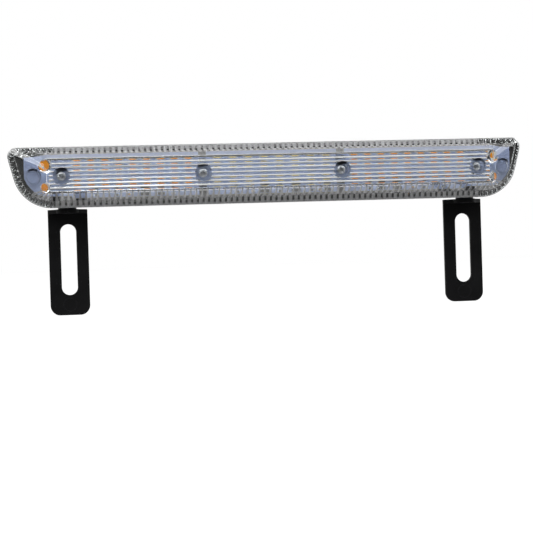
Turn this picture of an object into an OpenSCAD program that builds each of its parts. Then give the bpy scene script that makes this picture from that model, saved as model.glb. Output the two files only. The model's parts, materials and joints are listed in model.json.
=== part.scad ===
// Third brake light: an LED bar with a clear ribbed lens, on two swivel brackets with slotted plates.
// Millimetres. X runs along the bar, Y from the lens (minus) to the back (plus), Z up.
// The origin is the centre of the housing's flat back face.

/* [Lens] */
// Overall length of the lens rim
rim_length = 263; // [250:1:290]
// Overall height of the lens rim
rim_height = 30.5; // [30.5:0.5:36]
// Radius of the rim's upper corners
rim_top_r = 4.5; // [4.3:0.1:6]
// Radius of the rim's swept lower corners
rim_low_r = 19.5; // [16:0.5:21]
// How far the lower corners stand in from the ends of the rim
rim_low_inset = 2.2; // [1:0.1:4]
// Length of each sloping end between the rim and the flat front window
end_slope = 18.5; // [16:0.5:20]
// Height of the flat front window
face_height = 17; // [15:0.5:19]
// Radius of the window's corners
face_corner_r = 2; // [1.5:0.5:3]
// Depth of the lens from its rim to its front face
lens_depth = 15; // [14:0.5:20]
// Thickness of the rim's straight edge
rim_edge = 1; // [0.8:0.1:2]
// Width of the flange between the rim and the wall
flange_width = 3.2; // [3:0.1:3.5]
// How far the flange rises from its edge to the wall
flange_rise = 1.5; // [1:0.1:2.5]
// Distance from the front face back to the shoulder where the bevels begin
shoulder_setback = 6.5; // [6:0.1:7]
// How far the wall leans in between the flange and the shoulder
shoulder_lean = 0.15; // [0.1:0.05:0.3]
// Wall thickness of the lens
lens_wall = 1.6; // [1.3:0.1:1.7]
// Outer radius of the locating tubes under the sloping ends
tube_r = 4.1; // [3.6:0.1:4.2]
// Wall thickness of the locating tubes
tube_wall = 1; // [0.8:0.1:1.4]
// Distance from the end lamps to the locating tubes
tube_gap = 6.2; // [6:0.1:6.3]

/* [Case screws] */
// Distance of the outermost case screws from the ends of the rim
screw_end_margin = 26.5; // [26:0.5:29]
// Outer radius of the screw wells in the lens
well_r = 4.2; // [3.6:0.1:4.5]
// Bore radius of the screw wells
well_bore_r = 2.75; // [2.5:0.05:3]
// Thickness of a well's floor
well_floor = 1.4; // [1:0.1:2]
// Thread radius of the case screws
screw_r = 1.25; // [1:0.05:1.4]
// Length of a case screw under its head
screw_length = 13; // [10:0.5:14]
// Radius of a case screw's head
screw_head_r = 2.2; // [1.9:0.1:2.3]
// Height of a case screw's head
screw_head_h = 1.6; // [1.2:0.1:2]

/* [Housing] */
// Depth of the housing
base_depth = 13; // [13:0.5:18]
// Thickness of the housing's side walls
base_wall = 3; // [2.8:0.1:3.5]
// Thickness of the housing's back wall
base_back = 2; // [1.8:0.1:3]
// Gap between the rim outlines of lens and housing
rim_reveal = 0.5; // [0:0.1:0.8]
// Radius of the screw posts
post_r = 3; // [2.4:0.1:3.5]
// Width of the gasket
gasket_width = 1.4; // [1:0.1:1.6]
// Depth of the gasket's groove
gasket_depth = 1; // [0.6:0.1:1.4]

/* [Circuit board] */
// Distance from the lens front face to the board's front face
board_setback = 7; // [7:0.1:8]
// Thickness of the board
board_thick = 1.6; // [1:0.1:2]
// Distance from the centre of the end lamps to the ends of the board
board_end_margin = 10.7; // [10:0.1:12]
// Length of the narrower tab at each end of the board
board_tab = 23; // [20:0.5:25]
// How far the lower edge of a tab stands above the board's lower edge
board_tab_rise = 1.5; // [0.5:0.1:3]
// Gap between the board's edge and the wall of the lens
board_gap = 0.5; // [0.4:0.05:0.8]
// Width of the notches in the board's long edges
notch_width = 3.9; // [2:0.1:6]
// Depth of those notches
notch_depth = 3; // [1:0.5:4]

/* [Lamps] */
// Width of a lamp package
led_width = 3.5; // [2.8:0.1:4]
// Height of a lamp package
led_height = 2.8; // [2:0.1:3.5]
// Thickness of a lamp package
led_thick = 0.7; // [0.5:0.05:1.2]
// Width of the rim around a lamp's phosphor
led_rim = 0.25; // [0.15:0.05:0.5]
// Height of the phosphor dome above its package
phosphor_rise = 0.08; // [0.05:0.01:0.3]
// Distance of each row of lamps from the board's nearer edge
row_margin = 4.4; // [4.2:0.1:4.9]
// Distance between neighbouring white lamps
white_pitch = 7.9; // [6:0.1:12]
// Distance between neighbouring amber lamps
amber_pitch = 6.9; // [5:0.1:12]
// Least distance from the centre of a well to the centre of the lamp beside it
lamp_well_gap = 7.1; // [6.5:0.1:7.5]
// Distance from the outermost wells to the single lamp at each end
end_lamp_gap = 7.3; // [7:0.1:8]

/* [Small components] */
// Width of a driver chip
chip_width = 4.6; // [4:0.1:5]
// Height of a driver chip
chip_height = 2; // [1.5:0.1:2.1]
// Thickness of a driver chip
chip_thick = 1.3; // [1:0.1:1.5]
// Length of a resistor
resistor_length = 2.4; // [2:0.1:3]
// Width of a resistor
resistor_width = 1.3; // [1.1:0.1:1.6]
// Thickness of a resistor
resistor_thick = 0.55; // [0.4:0.05:0.8]
// Length of each metal end of a resistor
terminal_length = 0.4; // [0.3:0.05:0.7]
// Length of a rectifier diode
diode_length = 3.6; // [3:0.1:4.2]
// Width of a rectifier diode
diode_width = 1.8; // [1.6:0.1:2.1]
// Thickness of a rectifier diode
diode_thick = 1.2; // [1:0.1:1.5]
// Side of a chip capacitor
capacitor_width = 1.3; // [1:0.1:1.5]
// Length of a chip capacitor
capacitor_length = 2; // [1.6:0.1:2.2]
// Distance of the component row from the board's lower edge
parts_margin = 1.5; // [1.3:0.1:1.6]
// Grid step along the component row
parts_step = 2; // [1.9:0.05:2.2]

/* [Cable outlet] */
// Distance of the outlet from the inner case screw on the right
outlet_offset = 35; // [14:1:50]
// Bore radius of the grommet
grommet_bore_r = 2.6; // [1.5:0.1:3]
// Neck radius of the grommet
grommet_neck_r = 4; // [3.6:0.1:4.5]
// Flange radius of the grommet
grommet_flange_r = 6; // [5:0.1:7]
// Thickness of the grommet's flanges
grommet_flange = 0.8; // [0.5:0.05:1]

/* [Brackets] */
// Distance of the bracket pivots from the ends of the rim
bracket_end_margin = 28.7; // [28.2:0.1:36]
// Width of a bracket
bracket_width = 20; // [16:0.5:22]
// Thickness of a bracket
bracket_thick = 2; // [2:0.1:3]
// Radius of the plate's lower corners
bracket_corner_r = 5; // [1:0.5:7]
// Width of the mounting slot
slot_width = 8; // [5:0.5:10]
// Overall length of the mounting slot
slot_length = 36; // [20:1:60]
// Distance from the top of the foot to the slot
slot_top_margin = 7.4; // [4:0.1:12]
// Distance from the plate's lower edge to the slot
slot_margin = 10.2; // [9.2:0.1:14]
// Radius of the raised ring below the slot
ring_r = 3.6; // [2:0.1:3.9]
// Width of the raised ring
ring_width = 0.5; // [0.3:0.05:0.8]
// Height of the raised ring
ring_rise = 0.12; // [0.1:0.01:0.3]

/* [Pivots] */
// Distance of a pivot in front of the back face
pivot_setback = 7; // [6.8:0.1:7.5]
// Radius of the foot's round end
foot_r = 5.6; // [4.8:0.1:5.7]
// Shank radius of the pivot screw
pivot_r = 1.5; // [1.2:0.05:1.6]
// Radius of the pivot screw's countersunk head
pivot_head_r = 2.9; // [2.7:0.05:3.1]
// Length of the pivot screw over its head
pivot_length = 9; // [8:0.5:10]
// Outer radius of the threaded insert
insert_r = 2.1; // [2:0.05:2.4]
// Length of the threaded insert
insert_length = 5.5; // [4:0.5:6]
// Radius of the boss around the insert
pivot_boss_r = 4.2; // [3.6:0.1:4.5]
// Height of the boss inside the housing
pivot_boss_h = 8.5; // [8:0.1:9]
// Height of the pad under the housing
pad_rise = 0.5; // [0.3:0.05:1]
// Outer radius of the friction washer
washer_r = 4.6; // [3.5:0.1:4.7]
// Thickness of the friction washer
washer_thick = 0.5; // [0.3:0.05:1]

/* [Fits] */
// Radial clearance of a pivot screw in its bracket
pivot_clear = 0.06; // [0.03:0.01:0.09]
// Radial clearance between a thread and its hole
thread_clear = 0.05; // [0.03:0.01:0.1]
// Radial clearance between pieces of one body that are pushed together
push_clear = 0.05; // [0.03:0.01:0.1]
// Radial clearance of a case screw in the lens and the board
pass_clear = 0.25; // [0.15:0.05:0.4]

/* [Hidden] */
$fn = 64;
cut = 0.5;                    // how far a cut runs past the face it opens
skin = 0.02;                  // thickness of the slices that a hull joins
least_r = 0.3;                // smallest radius of a corner that is moved in
arc_steps = 12;               // flats along each rounded corner of the outlines
LEFT = -1;
RIGHT = 1;
screw_count = 4;              // two near the middle, whose wells stand in the board's notches

rim_y = -base_depth;
edge_y = rim_y - rim_edge;
flange_y = edge_y - flange_rise;
face_y = rim_y - lens_depth;
shoulder_y = face_y + shoulder_setback;
shoulder_inset = flange_width + shoulder_lean;
board_y = face_y + board_setback;
board_back_y = board_y + board_thick;
base_bottom = -rim_height / 2 + rim_reveal;
pad_bottom = base_bottom - pad_rise;
foot_top = pad_bottom - washer_thick;
foot_bottom = foot_top - bracket_thick;
slot_high = foot_top - slot_top_margin;
slot_low = slot_high - slot_length;
slot_mid = (slot_low + slot_high) / 2;
plate_bottom = slot_low - slot_margin;
pivot_x = rim_length / 2 - bracket_end_margin;
pivot_y = -pivot_setback;
head_height = pivot_head_r - pivot_r;   // of the countersunk cone, from the foot's lower face
well_floor_y = board_y - well_floor;
screw_tip_y = well_floor_y + screw_length;
pilot_end_y = screw_tip_y + cut;
groove_margin = (base_wall - gasket_width) / 2;
pad_r = washer_r;
face_length = rim_length - 2 * end_slope;
outer_screw_x = rim_length / 2 - screw_end_margin;
screw_pitch = 2 * outer_screw_x / (screw_count - 1);
screw_xs = [for (i = [0 : screw_count - 1]) (i - (screw_count - 1) / 2) * screw_pitch];
lamp_span = screw_pitch - 2 * lamp_well_gap;
white_gaps = floor(lamp_span / white_pitch);
amber_gaps = floor(lamp_span / amber_pitch);
amber_start = screw_pitch / 2 + lamp_well_gap;
amber_end = outer_screw_x + end_lamp_gap;
board_length = 2 * (amber_end + board_end_margin);
board_full_length = board_length - 2 * board_tab;
board_inset = shoulder_inset + lens_wall + board_gap;
board_height = rim_height - 2 * board_inset;
parts_z = parts_margin - board_height / 2;
tube_x = amber_end + tube_gap;
outlet_x = screw_pitch / 2 + outlet_offset;
white_xs = [for (i = [0 : white_gaps]) (i - white_gaps / 2) * white_pitch];
row_rise = board_height / 2 - row_margin;
row_zs = [-row_rise, row_rise];
amber_row = concat([for (i = [0 : amber_gaps]) amber_start + i * amber_pitch], [amber_end]);
amber_xs = concat([for (x = amber_row) LEFT * x], amber_row);

// Places of the small components, in grid steps: first from the middle of the board, then from the
// centre of each outer bay
function placed(middle, outer) = concat([for (i = middle) i * parts_step],
    [for (side = [LEFT, RIGHT]) for (i = outer) side * (screw_pitch + i * parts_step)]);
chip_xs = placed([-2, 6], [-3]);
resistor_xs = placed([-9, 2, 10], [-10, 4, 9]);
diode_xs = placed([14], [-7]);
capacitor_xs = placed([-5, 12], [1]);

// ---- outlines, drawn in x and z ----

// Points along an arc of a circle
function arc(centre, r, from, to) =
    [for (i = [0 : arc_steps]) let (a = from + (to - from) * i / arc_steps)
        centre + r * [cos(a), sin(a)]];

// A symmetric outline with one radius at its upper corners and another at its lower corners
module tapered_outline(top_x, top_z, top_r, low_x, low_z, low_r) {
    dx = low_x - top_x;
    dz = low_z - top_z;
    side = atan2(dz, dx) + acos((top_r - low_r) / norm([dx, dz]));
    polygon(concat(
        arc([low_x, low_z], low_r, -90, side), arc([top_x, top_z], top_r, side, 90),
        arc([-top_x, top_z], top_r, 90, 180 - side), arc([-low_x, low_z], low_r, 180 - side, 270)));
}

// The rim outline, moved in by some distance
module rim_outline(inset = 0) {
    top_r = max(rim_top_r - inset, least_r);
    tapered_outline(rim_length / 2 - inset - top_r, rim_height / 2 - inset - top_r, top_r,
        rim_length / 2 - rim_low_inset - rim_low_r, rim_low_r - rim_height / 2, rim_low_r - inset);
}

// The window outline, moved in by some distance
module face_outline(inset = 0) {
    corner_r = max(face_corner_r - inset, least_r);
    x = face_length / 2 - inset - corner_r;
    z = face_height / 2 - inset - corner_r;
    tapered_outline(x, z, corner_r, x, -z, corner_r);
}

// Stands an outline upright, from one depth to another
module upright(from_y, to_y) {
    translate([0, to_y, 0]) rotate([90, 0, 0]) linear_extrude(to_y - from_y) children();
}

// A round bar along Y
module bar_y(r, from_y, to_y) {
    translate([0, from_y, 0]) rotate([-90, 0, 0]) cylinder(r = r, h = to_y - from_y);
}

// The flange around the lens, with its straight edge at the rim
module flange_form() {
    hull() {
        upright(edge_y, rim_y) rim_outline();
        upright(flange_y, flange_y + skin) rim_outline(flange_width);
    }
}

// The body of the lens from the rim to the window, moved in by some distance
module body_form(inset = 0, open = 0) {
    hull() {
        upright(rim_y - skin, rim_y + open) rim_outline(flange_width + inset);
        upright(shoulder_y + inset / 2, shoulder_y + inset / 2 + skin) rim_outline(shoulder_inset + inset);
        upright(face_y + inset, face_y + inset + skin) face_outline(inset / 2);
    }
}

// ---- housing ----

module pivot_positions(side) {
    translate([side * pivot_x, pivot_y, 0]) children();
}

// The ring that the gasket fills, and with some clearance its groove, open towards the lens
module gasket_ring(clear = 0, open = 0) {
    difference() {
        upright(rim_y - open, rim_y + gasket_depth) rim_outline(rim_reveal + groove_margin - clear);
        upright(rim_y - open - cut, rim_y + gasket_depth + cut)
            rim_outline(rim_reveal + groove_margin + gasket_width + clear);
    }
}

module housing_shell() {
    difference() {
        upright(rim_y, 0) rim_outline(rim_reveal);
        upright(rim_y - cut, -base_back) rim_outline(rim_reveal + base_wall);
    }
}

module base_housing() color([0.07, 0.07, 0.075]) {
    difference() {
        union() {
            housing_shell();
            for (x = screw_xs) translate([x, 0, 0]) bar_y(post_r, board_back_y, -base_back / 2);
            for (side = [LEFT, RIGHT]) pivot_positions(side) {
                translate([0, 0, base_bottom]) cylinder(r = pivot_boss_r, h = pivot_boss_h);
                translate([0, 0, pad_bottom]) cylinder(r = pad_r, h = pad_rise + base_wall / 2);
            }
        }
        gasket_ring(push_clear, cut);
        for (x = screw_xs) translate([x, 0, 0])
            bar_y(screw_r + thread_clear, board_back_y - cut, pilot_end_y);
        for (side = [LEFT, RIGHT]) pivot_positions(side) {
            translate([0, 0, pad_bottom - cut])
                cylinder(r = insert_r + push_clear, h = insert_length + cut);
            translate([0, 0, pad_bottom])
                cylinder(r = pivot_r + thread_clear, h = pivot_length);
        }
        translate([outlet_x, 0, 0]) {
            bar_y(grommet_neck_r + push_clear, -base_back - cut, cut);
            bar_y(grommet_flange_r + push_clear, -grommet_flange, cut);
        }
    }
}

module threaded_insert(side) color([0.78, 0.62, 0.3]) {
    pivot_positions(side) translate([0, 0, pad_bottom]) difference() {
        cylinder(r = insert_r, h = insert_length);
        translate([0, 0, -cut]) cylinder(r = pivot_r + thread_clear, h = insert_length + 2 * cut);
    }
}

module left_threaded_insert() threaded_insert(LEFT);
module right_threaded_insert() threaded_insert(RIGHT);

module cable_grommet() color([0.1, 0.1, 0.1]) {
    translate([outlet_x, 0, 0]) difference() {
        union() {
            bar_y(grommet_flange_r, -grommet_flange, 0);
            bar_y(grommet_neck_r, -base_back, -grommet_flange);
            bar_y(grommet_flange_r, -base_back - grommet_flange, -base_back);
        }
        bar_y(grommet_bore_r, -base_back - grommet_flange - cut, cut);
    }
}

// ---- lens ----

module lens_gasket() color([0.25, 0.25, 0.26]) gasket_ring();

// Tubes that hold the board's ends down, cut to the sloping ends of the lens
module locating_tubes() {
    intersection() {
        body_form();
        for (side = [LEFT, RIGHT]) translate([side * tube_x, 0, 0]) difference() {
            bar_y(tube_r, face_y, board_y);
            bar_y(tube_r - tube_wall, face_y - cut, board_y + cut);
        }
    }
}

module lens_cover() color([0.85, 0.9, 0.95, 0.35]) {
    difference() {
        union() {
            difference() {
                union() {
                    flange_form();
                    body_form();
                }
                body_form(lens_wall, cut);
            }
            for (x = screw_xs) translate([x, 0, 0]) bar_y(well_r, face_y + lens_wall / 2, board_y);
            locating_tubes();
        }
        for (x = screw_xs) translate([x, 0, 0]) {
            bar_y(well_bore_r, face_y - cut, well_floor_y);
            bar_y(screw_r + pass_clear, well_floor_y - cut, board_y + cut);
        }
    }
}

module case_screws() color([0.55, 0.55, 0.58]) {
    recess_r = screw_head_r * 0.5;
    recess_depth = screw_head_h * 0.6;
    for (x = screw_xs) translate([x, 0, 0]) difference() {
        union() {
            bar_y(screw_head_r, well_floor_y - screw_head_h, well_floor_y);
            bar_y(screw_r, well_floor_y, screw_tip_y);
        }
        for (turn = [0, 90]) translate([0, well_floor_y - screw_head_h, 0]) rotate([0, turn, 0])
            cube([2 * recess_r, 2 * recess_depth, recess_r / 2], center = true);
    }
}

// ---- circuit board ----

module board_outline() {
    difference() {
        intersection() {
            rim_outline(board_inset);
            union() {
                square([board_full_length, board_height], center = true);
                translate([-board_length / 2, board_tab_rise - board_height / 2])
                    square([board_length, board_height - board_tab_rise]);
            }
        }
        for (i = [1 : screw_count - 2]) for (s = [LEFT, RIGHT])
            translate([screw_xs[i], s * board_height / 2])
                square([notch_width, 2 * notch_depth], center = true);
        for (x = screw_xs) translate([x, 0]) circle(screw_r + pass_clear);
    }
}

module circuit_board() color([0.66, 0.72, 0.84]) upright(board_y, board_back_y) board_outline();

// A flat component on the board's front face
module on_board(x, z, width, height, thick) {
    translate([x - width / 2, board_y - thick, z - height / 2]) cube([width, thick, height]);
}

module led_packages(xs) {
    cup = led_thick / 2;
    for (x = xs) for (z = row_zs) difference() {
        on_board(x, z, led_width, led_height, led_thick);
        translate([0, -cup, 0])
            on_board(x, z, led_width - 2 * led_rim, led_height - 2 * led_rim, led_thick);
    }
}

module led_phosphors(xs) {
    cup = led_thick / 2;
    for (x = xs) for (z = row_zs) translate([0, -cup, 0])
        on_board(x, z, led_width - 2 * led_rim, led_height - 2 * led_rim, cup + phosphor_rise);
}

module amber_led_packages() color([0.95, 0.93, 0.88]) led_packages(amber_xs);
module amber_led_phosphors() color([0.98, 0.52, 0.1]) led_phosphors(amber_xs);
module white_led_packages() color([0.95, 0.94, 0.92]) led_packages(white_xs);
module white_led_phosphors() color([0.9, 0.85, 0.6]) led_phosphors(white_xs);

module solder_pads() color([0.75, 0.75, 0.77]) {
    pad_width = 0.8;
    pad_thick = 0.15;
    for (x = concat(amber_xs, white_xs)) for (z = row_zs) for (s = [LEFT, RIGHT])
        on_board(x + s * (led_width + pad_width) / 2, z, pad_width, led_height * 0.8, pad_thick);
}

module driver_chips() color([0.1, 0.1, 0.11]) {
    for (x = chip_xs) on_board(x, parts_z, chip_width, chip_height, chip_thick);
}

module resistor_bodies() color([0.12, 0.12, 0.13]) {
    for (x = resistor_xs)
        on_board(x, parts_z, resistor_length - 2 * terminal_length, resistor_width, resistor_thick);
}

module resistor_terminals() color([0.8, 0.8, 0.8]) {
    for (x = resistor_xs) for (s = [LEFT, RIGHT])
        on_board(x + s * (resistor_length - terminal_length) / 2, parts_z,
            terminal_length, resistor_width, resistor_thick);
}

module rectifier_diodes() color([0.13, 0.13, 0.14]) {
    for (x = diode_xs) on_board(x, parts_z, diode_length, diode_width, diode_thick);
}

module capacitors() color([0.72, 0.6, 0.45]) {
    for (x = capacitor_xs)
        on_board(x, parts_z, capacitor_length, capacitor_width, capacitor_width);
}

// ---- brackets and pivots ----

module friction_washer(side) color([0.3, 0.16, 0.1]) {
    pivot_positions(side) translate([0, 0, foot_top]) difference() {
        cylinder(r = washer_r, h = washer_thick);
        translate([0, 0, -cut]) cylinder(r = pivot_r + thread_clear, h = washer_thick + 2 * cut);
    }
}

module left_friction_washer() friction_washer(LEFT);
module right_friction_washer() friction_washer(RIGHT);

module pivot_screw(side) color([0.12, 0.12, 0.13]) {
    socket = pivot_r * 1.2;
    pivot_positions(side) translate([0, 0, foot_bottom]) difference() {
        union() {
            cylinder(r1 = pivot_head_r, r2 = pivot_r, h = head_height);
            cylinder(r = pivot_r, h = pivot_length);
        }
        for (turn = [0, 90]) rotate([0, 0, turn])
            cube([2 * socket, socket / 2, head_height], center = true);
    }
}

module left_pivot_screw() pivot_screw(LEFT);
module right_pivot_screw() pivot_screw(RIGHT);

module plate_outline() {
    half = bracket_width / 2;
    difference() {
        union() {
            translate([-half, plate_bottom + bracket_corner_r])
                square([bracket_width, foot_top - plate_bottom - bracket_corner_r]);
            translate([bracket_corner_r - half, plate_bottom])
                square([bracket_width - 2 * bracket_corner_r, bracket_corner_r]);
            for (s = [LEFT, RIGHT])
                translate([s * (half - bracket_corner_r), plate_bottom + bracket_corner_r])
                    circle(bracket_corner_r);
        }
        for (s = [LEFT, RIGHT])
            translate([0, slot_mid + s * (slot_length - slot_width) / 2]) circle(slot_width / 2);
        translate([-slot_width / 2, slot_low + slot_width / 2])
            square([slot_width, slot_length - slot_width]);
    }
}

// A shallow ring on the plate's front face below the slot
module plate_ring() {
    translate([0, 0, plate_bottom + slot_margin / 2]) difference() {
        bar_y(ring_r, -bracket_thick - ring_rise, -bracket_thick / 2);
        bar_y(ring_r - ring_width, -bracket_thick - 2 * ring_rise, 0);
    }
}

module foot_outline() {
    half = bracket_width / 2;
    translate([0, pivot_y]) circle(foot_r);
    polygon([[-half, 0], [-half, -bracket_thick], [-foot_r, pivot_y], [foot_r, pivot_y],
        [half, -bracket_thick], [half, 0]]);
}

module bracket(side) color([0.1, 0.1, 0.11]) {
    translate([side * pivot_x, 0, 0]) difference() {
        union() {
            upright(-bracket_thick, 0) plate_outline();
            plate_ring();
            translate([0, 0, foot_bottom]) linear_extrude(bracket_thick) foot_outline();
        }
        translate([0, pivot_y, foot_bottom]) {
            translate([0, 0, -cut]) cylinder(r = pivot_r + pivot_clear, h = bracket_thick + 2 * cut);
            translate([0, 0, -cut]) cylinder(r1 = pivot_head_r + 2 * pivot_clear + cut,
                r2 = pivot_r + pivot_clear, h = head_height + pivot_clear + cut);
        }
    }
}

module left_bracket() bracket(LEFT);
module right_bracket() bracket(RIGHT);

base_housing();
lens_cover();
lens_gasket();
circuit_board();
solder_pads();
amber_led_packages();
amber_led_phosphors();
white_led_packages();
white_led_phosphors();
driver_chips();
resistor_bodies();
resistor_terminals();
rectifier_diodes();
capacitors();
cable_grommet();
case_screws();
left_threaded_insert();
right_threaded_insert();
left_pivot_screw();
right_pivot_screw();
left_friction_washer();
right_friction_washer();
left_bracket();
right_bracket();
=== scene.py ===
"""Third brake light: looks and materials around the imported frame.

Shapes are in millimetres until a mesh is made of them: x runs along the bar, y to the back and z up.
"""

import json
import math

import bmesh
import bpy
import numpy as np
from mathutils import Matrix, Vector


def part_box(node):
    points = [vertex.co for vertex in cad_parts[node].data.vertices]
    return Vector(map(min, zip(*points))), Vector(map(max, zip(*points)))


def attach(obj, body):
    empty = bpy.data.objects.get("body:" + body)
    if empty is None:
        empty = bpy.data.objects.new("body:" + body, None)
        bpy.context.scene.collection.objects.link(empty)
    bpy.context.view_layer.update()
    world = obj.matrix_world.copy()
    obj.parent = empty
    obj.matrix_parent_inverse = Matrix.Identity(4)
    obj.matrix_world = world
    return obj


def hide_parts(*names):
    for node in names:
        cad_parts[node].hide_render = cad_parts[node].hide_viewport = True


MM = 0.001
MERGE_M = 1e-6
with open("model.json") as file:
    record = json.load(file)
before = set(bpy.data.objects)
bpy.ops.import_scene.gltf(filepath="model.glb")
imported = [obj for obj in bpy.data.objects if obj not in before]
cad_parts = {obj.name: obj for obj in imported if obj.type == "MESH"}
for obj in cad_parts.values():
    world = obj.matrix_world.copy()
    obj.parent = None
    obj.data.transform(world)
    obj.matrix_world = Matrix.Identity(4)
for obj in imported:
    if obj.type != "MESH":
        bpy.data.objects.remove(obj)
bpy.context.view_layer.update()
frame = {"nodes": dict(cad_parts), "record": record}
NODES = frame["nodes"]
NODE_SLOT = {part["node"]: part["material_slot"] for part in frame["record"]["subparts"]}
NODE_BODY = {node: body for body, nodes in frame["record"]["behaviour"]["bodies"].items() for node in nodes}

# ---- sizes, in millimetres ----


def extent(node):
    """The lowest and highest corner of a CAD node, in millimetres."""
    low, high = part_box(node)
    return Vector(low) / MM, Vector(high) / MM


def islands(node):
    """The box of each separate solid of a CAD node, in millimetres, from left to right."""
    bm = bmesh.new()
    bm.from_mesh(NODES[node].data)
    bmesh.ops.remove_doubles(bm, verts=bm.verts, dist=MERGE_M)
    seen = set()
    boxes = []
    for first in bm.verts:
        if first in seen:
            continue
        seen.add(first)
        group, todo = [], [first]
        while todo:
            vert = todo.pop()
            group.append(vert.co[:])
            for edge in vert.link_edges:
                other = edge.other_vert(vert)
                if other not in seen:
                    seen.add(other)
                    todo.append(other)
        points = np.array(group) / MM
        boxes.append((points.min(0), points.max(0)))
    bm.free()
    return sorted(boxes, key=lambda b: (round(b[0][0], 2), round(b[0][2], 2)))


LENS_LOW, LENS_HIGH = extent("lens_cover")
HALF_LENGTH = LENS_HIGH.x
HALF_HEIGHT = LENS_HIGH.z
RIM_Y = LENS_HIGH.y
FACE_Y = LENS_LOW.y
BOARD_Y = extent("circuit_board")[0].y
FLOOR_Z = extent("left_bracket")[0].z

# The rim's outline from the front: small arcs at the top corners, wide ones at the bottom.
RIM_TOP_R = 4.5
RIM_LOW_R = 19.5
RIM_LOW_INSET = 2.2
LEAST_R = 0.3
STRAIGHT_X = 109.0

# The rim's section, from its seat on the housing forward to the shoulder of its wall.
SEAT_Y = RIM_Y - 0.04
RIM_EDGE = 1.0
EDGE_Y = RIM_Y - RIM_EDGE
FLANGE_WIDTH = 3.2
FLANGE_RISE = 1.5
FLANGE_SKIN = 0.75
FLANGE_Y = EDGE_Y - FLANGE_RISE
SEAT_WIDTH = FLANGE_WIDTH + 1.0
SHOULDER_Y = FACE_Y + 6.5
SHOULDER_INSET = FLANGE_WIDTH + 0.15
WALL = 1.6
SIDE_WALL = 0.8
EDGE_ROUND = 0.25

# Ribs along the rim's back and up its walls; teeth and prisms at the ends.
RIB_PITCH = 2.87
RIB_HEIGHT = 1.1
RIB_TOP_REACH = 0.3
RIB_TAPER = 0.6
WALL_RIB_TOP_X = 116.0
WALL_RIB_LOW_X = 122.0
WALL_RIB_LEAST_Z = 6.0
VALLEY_INSET = 0.9
GROOVE_ROOF = 0.05
GROOVE_DEPTH = 0.5
TOOTH_HEIGHT = FLANGE_WIDTH - 0.2
PRISM_INSET = 0.5
PRISM_DEPTH = 0.85
FROST_TOP = 2.5
FROST_LOW = 1.4

# Half a rib's width as a share of the pitch, on each part of the lens.
PLAIN_SPREAD = 0.25
RIB_SPREAD = 0.3
TOOTH_SPREAD = 0.48
FOOT_SPREAD = 0.34
SHOULDER_SPREAD = 0.28
BROW_SPREAD = 0.1

# The window and the flutes on its inside.
END_SLOPE = 18.5
WINDOW_HALF_LENGTH = HALF_LENGTH - END_SLOPE
WINDOW_HALF_HEIGHT = 8.5
WINDOW_CORNER_R = 2.0
WINDOW_SKIN = 0.7
FLUTES = 8
FLUTE_PITCH = 2.0
FLUTE_RISE = 0.69
FLUTE_POWER = 1.5
FLUTE_ROOT = 0.3
FLUTE_END_GAP = 1.2
FLUTE_STEPS = 20

# Screw wells, locating tubes, and beads before the end lamps as (z, depth behind the face, radius).
SCREW_XS = [round((low[0] + high[0]) / 2, 3) for low, high in islands("case_screws")]
WELL_R = 4.2
WELL_BORE_R = 2.75
WELL_FLOOR = 1.4
SCREW_HOLE_R = 1.5
TUBE_X = 118.5
TUBE_R = 4.1
TUBE_WALL = 1.0
BEAD_X = 113.5
BEADS = [(5.2, 3.7, 4.4), (-5.6, 3.3, 3.2)]

# How far a cutter goes past what it cuts.
OVERSHOOT = 0.5
CUTTER_GAP = 1.0

# The lens's materials, by their place in its list; the frosted and matt ones are rough, and their pale grey
# is a painted reflection of the white surroundings.
CLEAR, FROSTED_PAINTED_REFLECTION, MATT_PAINTED_REFLECTION = 0, 1, 2

# ---- small helpers ----


def srgb(r, g, b):
    """Linear colour of an sRGB colour given in 0 to 255."""
    shares = (c / 255 for c in (r, g, b))
    return (*(c / 12.92 if c <= 0.04045 else ((c + 0.055) / 1.055) ** 2.4 for c in shares), 1.0)


def new_object(name, data):
    """Adds an object with this mesh, light or camera to the scene."""
    obj = bpy.data.objects.new(name, data)
    bpy.context.scene.collection.objects.link(obj)
    return obj


def object_of(name, verts, faces):
    """A mesh object from points in millimetres."""
    mesh = bpy.data.meshes.new(name)
    mesh.from_pydata([tuple(np.array(v) * MM) for v in verts], [], faces)
    mesh.validate()
    bm = bmesh.new()
    bm.from_mesh(mesh)
    bmesh.ops.recalc_face_normals(bm, faces=bm.faces)
    bm.to_mesh(mesh)
    bm.free()
    return new_object(name, mesh)


def object_from_bmesh(name, bm):
    """A mesh object from a bmesh in millimetres, which is freed."""
    bmesh.ops.scale(bm, vec=(MM, MM, MM), verts=bm.verts)
    bmesh.ops.recalc_face_normals(bm, faces=bm.faces)
    mesh = bpy.data.meshes.new(name)
    bm.to_mesh(mesh)
    bm.free()
    return new_object(name, mesh)


def smooth_by_angle(obj, degrees=30):
    """Smooth shading, with edges that are bent further than this kept sharp."""
    for polygon in obj.data.polygons:
        polygon.use_smooth = True
    obj.data.set_sharp_from_angle(angle=math.radians(degrees))


def apply_modifiers(obj):
    """Replaces an object's mesh by what its modifiers make of it."""
    bpy.context.view_layer.update()
    evaluated = obj.evaluated_get(bpy.context.evaluated_depsgraph_get())
    mesh = bpy.data.meshes.new_from_object(evaluated)
    obj.modifiers.clear()
    old = obj.data
    obj.data = mesh
    bpy.data.meshes.remove(old)


def cut(obj, cutter):
    """Cuts a closed mesh out of another; the cutter is then removed."""
    difference = obj.modifiers.new("cut", "BOOLEAN")
    difference.operation = "DIFFERENCE"
    difference.object = cutter
    difference.solver = "MANIFOLD"
    apply_modifiers(obj)
    mesh = cutter.data
    bpy.data.objects.remove(cutter)
    bpy.data.meshes.remove(mesh)


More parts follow.
